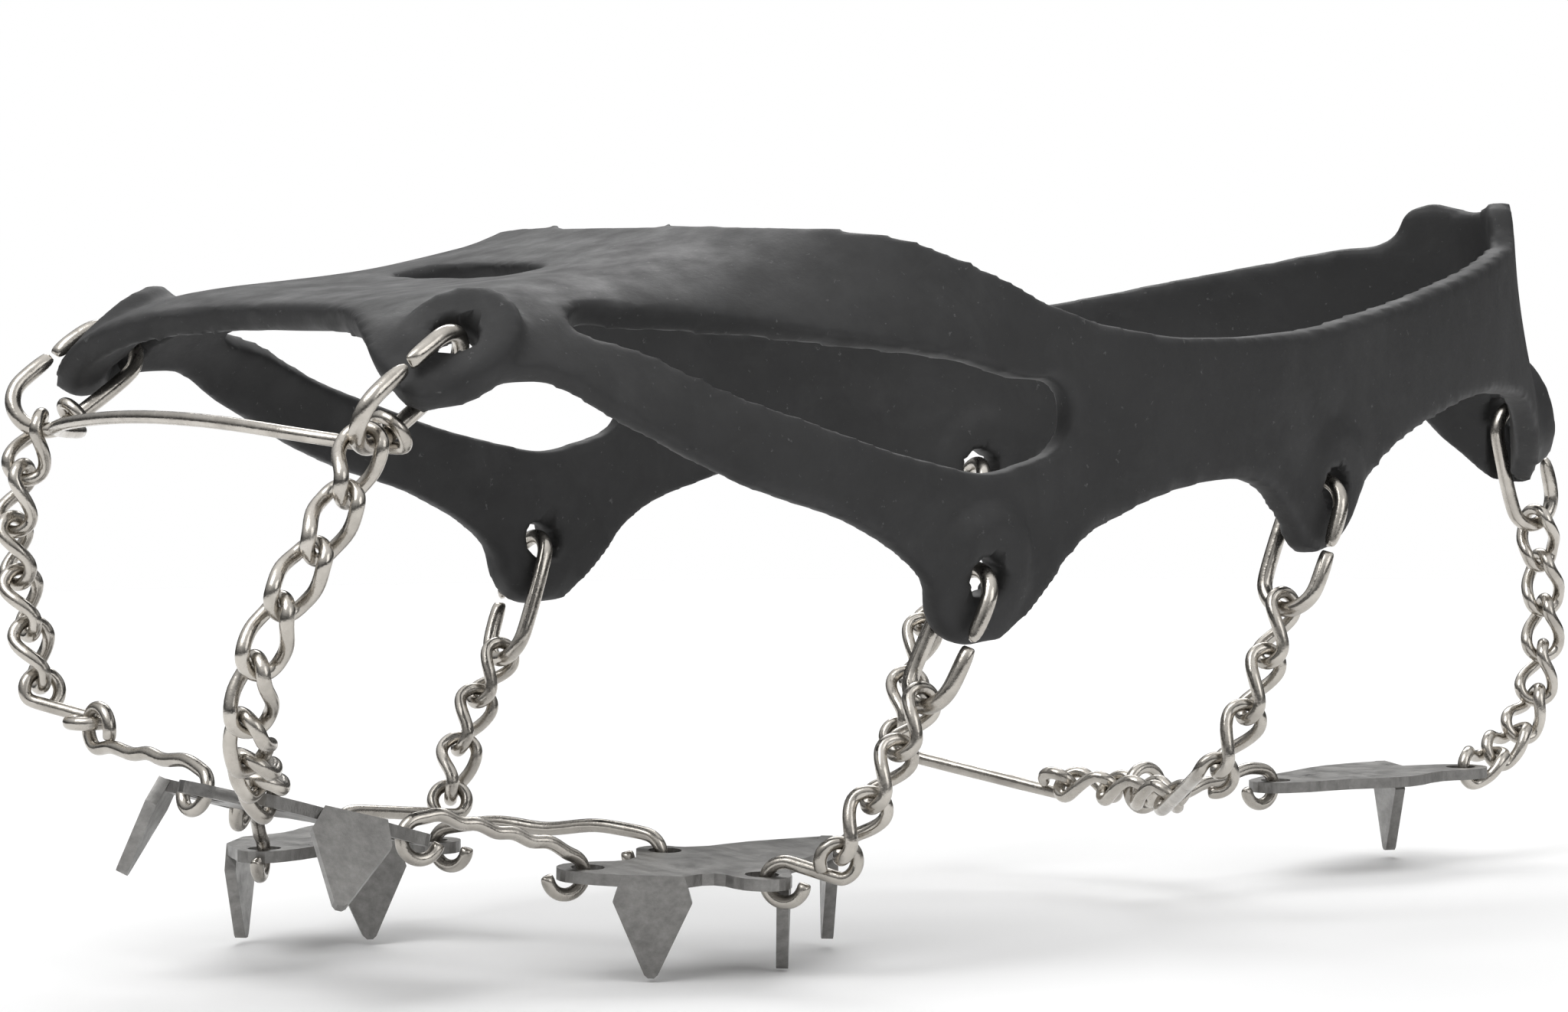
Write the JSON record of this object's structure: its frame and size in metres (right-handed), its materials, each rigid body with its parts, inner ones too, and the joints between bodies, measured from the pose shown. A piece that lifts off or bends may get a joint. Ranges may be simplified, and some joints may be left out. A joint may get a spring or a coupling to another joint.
{
  "type": "microspikes",
  "caption": "Slip-on ice cleat: a stretchy moulded harness with eyelets carries chains and hooked wires that hold stamped spike plates under a shoe.",
  "frame": {"origin": "on the sole's seat under the arch, 15 mm above the spike tips", "axes": "toe towards -Y, up +Z, the wearer's left side +X"},
  "size_m": [0.1156, 0.2645, 0.1015],
  "materials": {
    "rubber": "matte, lightly dusted",
    "wire": "polished nickel",
    "plate": "satin with sheared edges"
  },
  "bodies": {
    "chain_arch_1": {"chain_arch_1": "wire"},
    "chain_arch_2": {"chain_arch_2": "wire"},
    "chain_arch_3": {"chain_arch_3": "wire"},
    "chain_arch_left_1": {"chain_arch_left_1": "wire"},
    "chain_arch_left_2": {"chain_arch_left_2": "wire"},
    "chain_arch_left_3": {"chain_arch_left_3": "wire"},
    "chain_arch_right_1": {"chain_arch_right_1": "wire"},
    "chain_arch_right_2": {"chain_arch_right_2": "wire"},
    "chain_arch_right_3": {"chain_arch_right_3": "wire"},
    "chain_ball_left_1": {"chain_ball_left_1": "wire"},
    "chain_ball_left_2": {"chain_ball_left_2": "wire"},
    "chain_ball_left_3": {"chain_ball_left_3": "wire"},
    "chain_ball_right_1": {"chain_ball_right_1": "wire"},
    "chain_ball_right_2": {"chain_ball_right_2": "wire"},
    "chain_ball_right_3": {"chain_ball_right_3": "wire"},
    "chain_heel_1": {"chain_heel_1": "wire"},
    "chain_heel_2": {"chain_heel_2": "wire"},
    "chain_heel_3": {"chain_heel_3": "wire"},
    "chain_heel_4": {"chain_heel_4": "wire"},
    "chain_heel_5": {"chain_heel_5": "wire"},
    "chain_heel_6": {"chain_heel_6": "wire"},
    "chain_heel_7": {"chain_heel_7": "wire"},
    "chain_toe_left_1": {"chain_toe_left_1": "wire"},
    "chain_toe_left_2": {"chain_toe_left_2": "wire"},
    "chain_toe_left_3": {"chain_toe_left_3": "wire"},
    "chain_toe_left_4": {"chain_toe_left_4": "wire"},
    "chain_toe_left_5": {"chain_toe_left_5": "wire"},
    "chain_toe_left_6": {"chain_toe_left_6": "wire"},
    "chain_toe_left_7": {"chain_toe_left_7": "wire"},
    "chain_toe_left_8": {"chain_toe_left_8": "wire"},
    "chain_toe_right_1": {"chain_toe_right_1": "wire"},
    "chain_toe_right_2": {"chain_toe_right_2": "wire"},
    "chain_toe_right_3": {"chain_toe_right_3": "wire"},
    "chain_toe_right_4": {"chain_toe_right_4": "wire"},
    "chain_toe_right_5": {"chain_toe_right_5": "wire"},
    "connector_arch_left": {"connector_arch_left": "wire"},
    "connector_arch_right": {"connector_arch_right": "wire"},
    "connector_ball_left": {"connector_ball_left": "wire"},
    "connector_ball_right": {"connector_ball_right": "wire"},
    "connector_toe_right": {"connector_toe_right": "wire"},
    "eyelet_link_fl": {"eyelet_link_fl": "wire"},
    "eyelet_link_fr": {"eyelet_link_fr": "wire"},
    "eyelet_link_heel": {"eyelet_link_heel": "wire"},
    "eyelet_link_ml": {"eyelet_link_ml": "wire"},
    "eyelet_link_mr": {"eyelet_link_mr": "wire"},
    "eyelet_link_rl": {"eyelet_link_rl": "wire"},
    "eyelet_link_rr": {"eyelet_link_rr": "wire"},
    "harness": {"harness": "rubber"},
    "spike_plate_ball_left": {"spike_plate_ball_left": "plate"},
    "spike_plate_ball_right": {"spike_plate_ball_right": "plate"},
    "spike_plate_heel": {"spike_plate_heel": "plate"},
    "spike_plate_toe": {"spike_plate_toe": "plate"},
    "toe_bail": {"toe_bail": "wire"},
    "wire_ball_cross": {"wire_ball_cross": "wire"},
    "wire_heel": {"wire_heel": "wire"},
    "wire_toe_cross": {"wire_toe_cross": "wire"},
    "wire_toe_left": {"wire_toe_left": "wire"},
    "wire_toe_right": {"wire_toe_right": "wire"}
  },
  "joints": [
    {"name": "roll_chain_arch_1", "type": "hinge", "parent": "harness", "child": "chain_arch_1", "pos_m": [0.01175, 0.0516, -0.0002], "axis": [-0.9682, 0.25, 0], "range_deg": [-10, 10]},
    {"name": "roll_chain_arch_2", "type": "hinge", "parent": "harness", "child": "chain_arch_2", "pos_m": [0.004, 0.0536, -0.0002], "axis": [-1, 0, 0], "range_deg": [-2.21, 3.6]},
    {"name": "roll_chain_arch_3", "type": "hinge", "parent": "harness", "child": "chain_arch_3", "pos_m": [-0.004, 0.0536, -0.0002], "axis": [-0.9682, -0.25, 0], "range_deg": [-10, 10]},
    {"name": "roll_chain_arch_left_1", "type": "hinge", "parent": "harness", "child": "chain_arch_left_1", "pos_m": [0.03904, 0.04996, 0.03008], "axis": [0.0485, -0.4167, -0.9077], "range_deg": [-10, 10]},
    {"name": "roll_chain_arch_left_2", "type": "hinge", "parent": "harness", "child": "chain_arch_left_2", "pos_m": [0.03945, 0.04641, 0.02235], "axis": [-0.0507, -0.4064, -0.9123], "range_deg": [-10, 10]},
    {"name": "roll_chain_arch_left_3", "type": "hinge", "parent": "harness", "child": "chain_arch_left_3", "pos_m": [0.03902, 0.04296, 0.01459], "axis": [-0.2612, -0.3707, -0.8913], "range_deg": [-10, 10]},
    {"name": "roll_chain_arch_right_1", "type": "hinge", "parent": "harness", "child": "chain_arch_right_1", "pos_m": [-0.03904, 0.04996, 0.03008], "axis": [-0.0485, -0.4167, -0.9077], "range_deg": [-10, 10]},
    {"name": "roll_chain_arch_right_2", "type": "hinge", "parent": "harness", "child": "chain_arch_right_2", "pos_m": [-0.03945, 0.04641, 0.02235], "axis": [0.0507, -0.4064, -0.9123], "range_deg": [-10, 10]},
    {"name": "roll_chain_arch_right_3", "type": "hinge", "parent": "harness", "child": "chain_arch_right_3", "pos_m": [-0.03902, 0.04296, 0.01459], "axis": [0.2612, -0.3707, -0.8913], "range_deg": [-10, 10]},
    {"name": "roll_chain_ball_left_1", "type": "hinge", "parent": "harness", "child": "chain_ball_left_1", "pos_m": [0.05047, -0.02347, 0.02143], "axis": [0.0206, -0.5389, -0.8421], "range_deg": [-10, 10]},
    {"name": "roll_chain_ball_left_2", "type": "hinge", "parent": "harness", "child": "chain_ball_left_2", "pos_m": [0.05063, -0.02764, 0.01493], "axis": [-0.1101, -0.4929, -0.8631], "range_deg": [-10, 10]},
    {"name": "roll_chain_ball_left_3", "type": "hinge", "parent": "harness", "child": "chain_ball_left_3", "pos_m": [0.04978, -0.03144, 0.00826], "axis": [-0.2959, -0.4091, -0.8632], "range_deg": [-10, 10]},
    {"name": "roll_chain_ball_right_1", "type": "hinge", "parent": "harness", "child": "chain_ball_right_1", "pos_m": [-0.05047, -0.02347, 0.02143], "axis": [-0.0206, -0.5389, -0.8421], "range_deg": [-10, 10]},
    {"name": "roll_chain_ball_right_2", "type": "hinge", "parent": "harness", "child": "chain_ball_right_2", "pos_m": [-0.05063, -0.02764, 0.01493], "axis": [0.1101, -0.4929, -0.8631], "range_deg": [-10, 10]},
    {"name": "roll_chain_ball_right_3", "type": "hinge", "parent": "harness", "child": "chain_ball_right_3", "pos_m": [-0.04978, -0.03144, 0.00826], "axis": [0.2959, -0.4091, -0.8632], "range_deg": [-10, 10]},
    {"name": "roll_chain_heel_1", "type": "hinge", "parent": "harness", "child": "chain_heel_1", "pos_m": [0, 0.13785, 0.03735], "axis": [-0.0033, 0.1631, -0.9866], "range_deg": [-10, 10]},
    {"name": "roll_chain_heel_2", "type": "hinge", "parent": "harness", "child": "chain_heel_2", "pos_m": [-0.00002, 0.13902, 0.03027], "axis": [0.0021, 0.1091, -0.994], "range_deg": [-10, 10]},
    {"name": "roll_chain_heel_3", "type": "hinge", "parent": "harness", "child": "chain_heel_3", "pos_m": [-0.00001, 0.1398, 0.02315], "axis": [0.0169, -0.0829, -0.9964], "range_deg": [-10, 10]},
    {"name": "roll_chain_heel_4", "type": "hinge", "parent": "harness", "child": "chain_heel_4", "pos_m": [0.00011, 0.13921, 0.016], "axis": [0.0445, -0.2761, -0.9601], "range_deg": [-10, 6]},
    {"name": "roll_chain_heel_5", "type": "hinge", "parent": "harness", "child": "chain_heel_5", "pos_m": [0.00043, 0.13723, 0.00912], "axis": [0.1185, -0.6255, -0.7712], "range_deg": [-6, 3]},
    {"name": "roll_chain_heel_6", "type": "hinge", "parent": "harness", "child": "chain_heel_6", "pos_m": [0.00128, 0.13274, 0.00359], "axis": [0.1581, -0.8849, -0.4381], "range_deg": [-2, 8]},
    {"name": "roll_chain_heel_7", "type": "hinge", "parent": "harness", "child": "chain_heel_7", "pos_m": [0.00242, 0.1264, 0.00044], "axis": [0.1653, -0.9441, -0.2852], "range_deg": [-8, 3]},
    {"name": "roll_chain_toe_left_1", "type": "hinge", "parent": "harness", "child": "chain_toe_left_1", "pos_m": [0.04302, -0.1039, 0.05772], "axis": [0.1412, -0.4658, -0.8735], "range_deg": [-8, 8]},
    {"name": "roll_chain_toe_left_2", "type": "hinge", "parent": "harness", "child": "chain_toe_left_2", "pos_m": [0.04415, -0.1076, 0.05078], "axis": [-0.0417, -0.5086, -0.86], "range_deg": [-10, 10]},
    {"name": "roll_chain_toe_left_3", "type": "hinge", "parent": "harness", "child": "chain_toe_left_3", "pos_m": [0.04381, -0.11165, 0.04394], "axis": [-0.1656, -0.527, -0.8336], "range_deg": [-10, 10]},
    {"name": "roll_chain_toe_left_4", "type": "hinge", "parent": "harness", "child": "chain_toe_left_4", "pos_m": [0.0425, -0.11584, 0.03731], "axis": [-0.2786, -0.2749, -0.9202], "range_deg": [-10, 10]},
    {"name": "roll_chain_toe_left_5", "type": "hinge", "parent": "harness", "child": "chain_toe_left_5", "pos_m": [0.04028, -0.11802, 0.03], "axis": [-0.3893, 0.0678, -0.9186], "range_deg": [-10, 6]},
    {"name": "roll_chain_toe_left_6", "type": "hinge", "parent": "harness", "child": "chain_toe_left_6", "pos_m": [0.03719, -0.11748, 0.02269], "axis": [-0.6308, 0.4016, -0.6639], "range_deg": [-3, 4.5]},
    {"name": "roll_chain_toe_left_7", "type": "hinge", "parent": "harness", "child": "chain_toe_left_7", "pos_m": [0.03217, -0.11429, 0.01741], "axis": [-0.7087, 0.5709, -0.4145], "range_deg": [-4.5, 10]},
    {"name": "roll_chain_toe_left_8", "type": "hinge", "parent": "harness", "child": "chain_toe_left_8", "pos_m": [0.02654, -0.10975, 0.01412], "axis": [-0.711, 0.5806, -0.3968], "range_deg": [-10, 3.13]},
    {"name": "roll_chain_toe_right_1", "type": "hinge", "parent": "harness", "child": "chain_toe_right_1", "pos_m": [-0.04262, -0.10334, 0.05747], "axis": [-0.1205, -0.2931, -0.9484], "range_deg": [-3, 5.95]},
    {"name": "roll_chain_toe_right_2", "type": "hinge", "parent": "harness", "child": "chain_toe_right_2", "pos_m": [-0.04349, -0.10546, 0.05061], "axis": [-0.0231, -0.2059, -0.9783], "range_deg": [-3, 10]},
    {"name": "roll_chain_toe_right_3", "type": "hinge", "parent": "harness", "child": "chain_toe_right_3", "pos_m": [-0.04366, -0.10695, 0.04353], "axis": [0.187, -0.0067, -0.9823], "range_deg": [-10, 3]},
    {"name": "roll_chain_toe_right_4", "type": "hinge", "parent": "harness", "child": "chain_toe_right_4", "pos_m": [-0.0423, -0.107, 0.03642], "axis": [0.2632, 0.0696, -0.9622], "range_deg": [-10, 10]},
    {"name": "roll_chain_toe_right_5", "type": "hinge", "parent": "harness", "child": "chain_toe_right_5", "pos_m": [-0.0404, -0.1065, 0.02946], "axis": [0.2625, 0.0689, -0.9625], "range_deg": [-10, 10]},
    {"name": "roll_connector_arch_left", "type": "hinge", "parent": "harness", "child": "connector_arch_left", "pos_m": [0.0368, 0.0398, 0.007], "axis": [-0.8756, 0.4124, -0.2516], "range_deg": [-4, 4]},
    {"name": "roll_connector_arch_right", "type": "hinge", "parent": "harness", "child": "connector_arch_right", "pos_m": [-0.0368, 0.0398, 0.007], "axis": [0.8756, 0.4124, -0.2516], "range_deg": [-4, 4]},
    {"name": "roll_connector_ball_left", "type": "hinge", "parent": "harness", "child": "connector_ball_left", "pos_m": [0.0475, -0.0346, 0.0016], "axis": [-0.7302, -0.5046, -0.4606], "range_deg": [-4, 4]},
    {"name": "roll_connector_ball_right", "type": "hinge", "parent": "harness", "child": "connector_ball_right", "pos_m": [-0.0475, -0.0346, 0.0016], "axis": [0.2738, -0.9485, -0.1594], "range_deg": [-4, 4]},
    {"name": "roll_connector_toe_right", "type": "hinge", "parent": "harness", "child": "connector_toe_right", "pos_m": [-0.0385, -0.106, 0.0225], "axis": [0.8559, 0.214, -0.4708], "range_deg": [-4, 4]},
    {"name": "roll_eyelet_link_fl", "type": "hinge", "parent": "harness", "child": "eyelet_link_fl", "pos_m": [0.0425, -0.0903, 0.0683], "axis": [0.0676, -0.8176, -0.5717], "range_deg": [-2.8, 5.1]},
    {"name": "roll_eyelet_link_fr", "type": "hinge", "parent": "harness", "child": "eyelet_link_fr", "pos_m": [-0.0425, -0.0903, 0.0683], "axis": [-0.0676, -0.8176, -0.5717], "range_deg": [-6, 0.5]},
    {"name": "roll_eyelet_link_heel", "type": "hinge", "parent": "harness", "child": "eyelet_link_heel", "pos_m": [0, 0.1328, 0.054], "axis": [0, 0.2901, -0.957], "range_deg": [-6, 6]},
    {"name": "roll_eyelet_link_ml", "type": "hinge", "parent": "harness", "child": "eyelet_link_ml", "pos_m": [0.0528, -0.0165, 0.0372], "axis": [-0.1336, -0.4009, -0.9063], "range_deg": [-6, 6]},
    {"name": "roll_eyelet_link_mr", "type": "hinge", "parent": "harness", "child": "eyelet_link_mr", "pos_m": [-0.0528, -0.0165, 0.0372], "axis": [0.1336, -0.4009, -0.9063], "range_deg": [-6, 6]},
    {"name": "roll_eyelet_link_rl", "type": "hinge", "parent": "harness", "child": "eyelet_link_rl", "pos_m": [0.0394, 0.0565, 0.0462], "axis": [-0.0206, -0.3757, -0.9265], "range_deg": [-6, 6]},
    {"name": "roll_eyelet_link_rr", "type": "hinge", "parent": "harness", "child": "eyelet_link_rr", "pos_m": [-0.0394, 0.0565, 0.0462], "axis": [0.0206, -0.3757, -0.9265], "range_deg": [-6, 6]},
    {"name": "rock_spike_plate_ball_left", "type": "hinge", "parent": "harness", "child": "spike_plate_ball_left", "pos_m": [0.0306, -0.0467, -0.0021], "axis": [0.9986, 0, -0.0523], "range_deg": [-1.2, 1.2]},
    {"name": "rock_spike_plate_ball_right", "type": "hinge", "parent": "harness", "child": "spike_plate_ball_right", "pos_m": [-0.03, -0.0675, -0.0019], "axis": [1, 0, 0], "range_deg": [-1.2, 1.2]},
    {"name": "rock_spike_plate_heel", "type": "hinge", "parent": "harness", "child": "spike_plate_heel", "pos_m": [-0.001, 0.0995, -0.0016], "axis": [1, 0, 0], "range_deg": [-0.4, 1.2]},
    {"name": "rock_spike_plate_toe", "type": "hinge", "parent": "harness", "child": "spike_plate_toe", "pos_m": [0.005, -0.0955, 0.0082], "axis": [1, 0, 0], "range_deg": [-1.2, 0.6]},
    {"name": "lift_toe_bail", "type": "hinge", "parent": "harness", "child": "toe_bail", "pos_m": [-0.04072, -0.09892, 0.05785], "axis": [-1, 0, 0], "range_deg": [0, 10]},
    {"name": "roll_wire_ball_cross", "type": "hinge", "parent": "harness", "child": "wire_ball_cross", "pos_m": [-0.01548, -0.05519, -0.0019], "axis": [0.9126, 0.4082, 0.0229], "range_deg": [-4, 4]},
    {"name": "roll_wire_heel", "type": "hinge", "parent": "harness", "child": "wire_heel", "pos_m": [0, 0.05502, -0.0002], "axis": [0, 0.9984, -0.0564], "range_deg": [-2.46, 4]},
    {"name": "roll_wire_toe_cross", "type": "hinge", "parent": "harness", "child": "wire_toe_cross", "pos_m": [-0.0285, -0.1035, 0.017], "axis": [0.9717, 0.0096, -0.236], "range_deg": [-4, 4]},
    {"name": "roll_wire_toe_left", "type": "hinge", "parent": "harness", "child": "wire_toe_left", "pos_m": [0.01994, -0.08225, 0.0044], "axis": [0.1037, 0.9555, -0.2761], "range_deg": [-4, 4]},
    {"name": "roll_wire_toe_right", "type": "hinge", "parent": "harness", "child": "wire_toe_right", "pos_m": [-0.01245, -0.08985, 0.00658], "axis": [-0.6388, 0.543, -0.5451], "range_deg": [-4, 4]}
  ]
}
